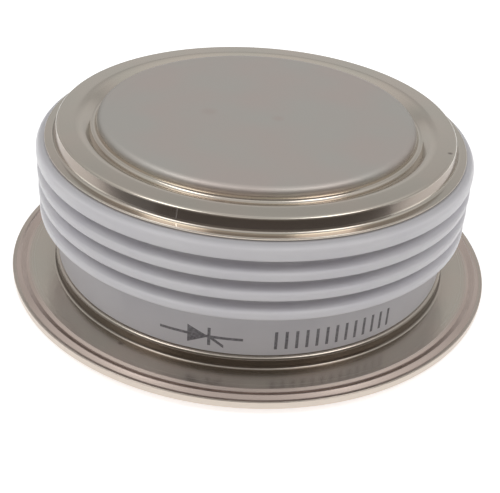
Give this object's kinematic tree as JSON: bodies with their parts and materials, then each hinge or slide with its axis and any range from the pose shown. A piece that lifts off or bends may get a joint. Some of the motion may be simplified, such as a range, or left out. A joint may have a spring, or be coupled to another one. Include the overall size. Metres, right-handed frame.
{
  "type": "disc thyristor",
  "caption": "Press-pack disc thyristor: a silicon wafer between flat round metal poles in a ribbed ceramic ring with a wide welded brim and small blade terminals.",
  "frame": {"origin": "centre of the lower (cathode) contact face, on the part's own axis", "axes": "+Z along the part's axis from the cathode face to the anode face, +Y towards the gate tube"},
  "size_m": [0.075, 0.0833, 0.026],
  "materials": {
    "nickel_plated_copper": "matte nickel plating, finely lapped",
    "nickel_plated_sheet": "satin nickel plating on bent sheet",
    "alumina": "smooth, slightly glossy white",
    "molybdenum": "fine ground",
    "silicon": "polished, metallised",
    "silicone_rubber": "cast, matte",
    "fluoropolymer": "turned, waxy white",
    "silvered_contact": "silver plated",
    "tinned_terminal": "plated, stamped"
  },
  "bodies": {
    "root": {"cathode_pole": "nickel_plated_copper", "cathode_flange": "nickel_plated_sheet", "gate_sleeve": "fluoropolymer", "gate_spring": "silvered_contact", "gate_pin": "silvered_contact", "gate_lead": "silvered_contact", "lead_sleeve": "fluoropolymer", "locating_ring": "fluoropolymer", "cathode_moly_disc": "molybdenum", "silicon_wafer": "silicon", "edge_seal": "silicone_rubber", "anode_moly_disc": "molybdenum", "ceramic_ring": "alumina", "weld_flange": "nickel_plated_sheet", "gate_tube": "tinned_terminal", "gate_eyelet": "tinned_terminal", "anode_pole": "nickel_plated_copper", "anode_flange": "nickel_plated_sheet", "gate_terminal": "tinned_terminal", "cathode_terminal": "tinned_terminal"}
  },
  "joints": []
}
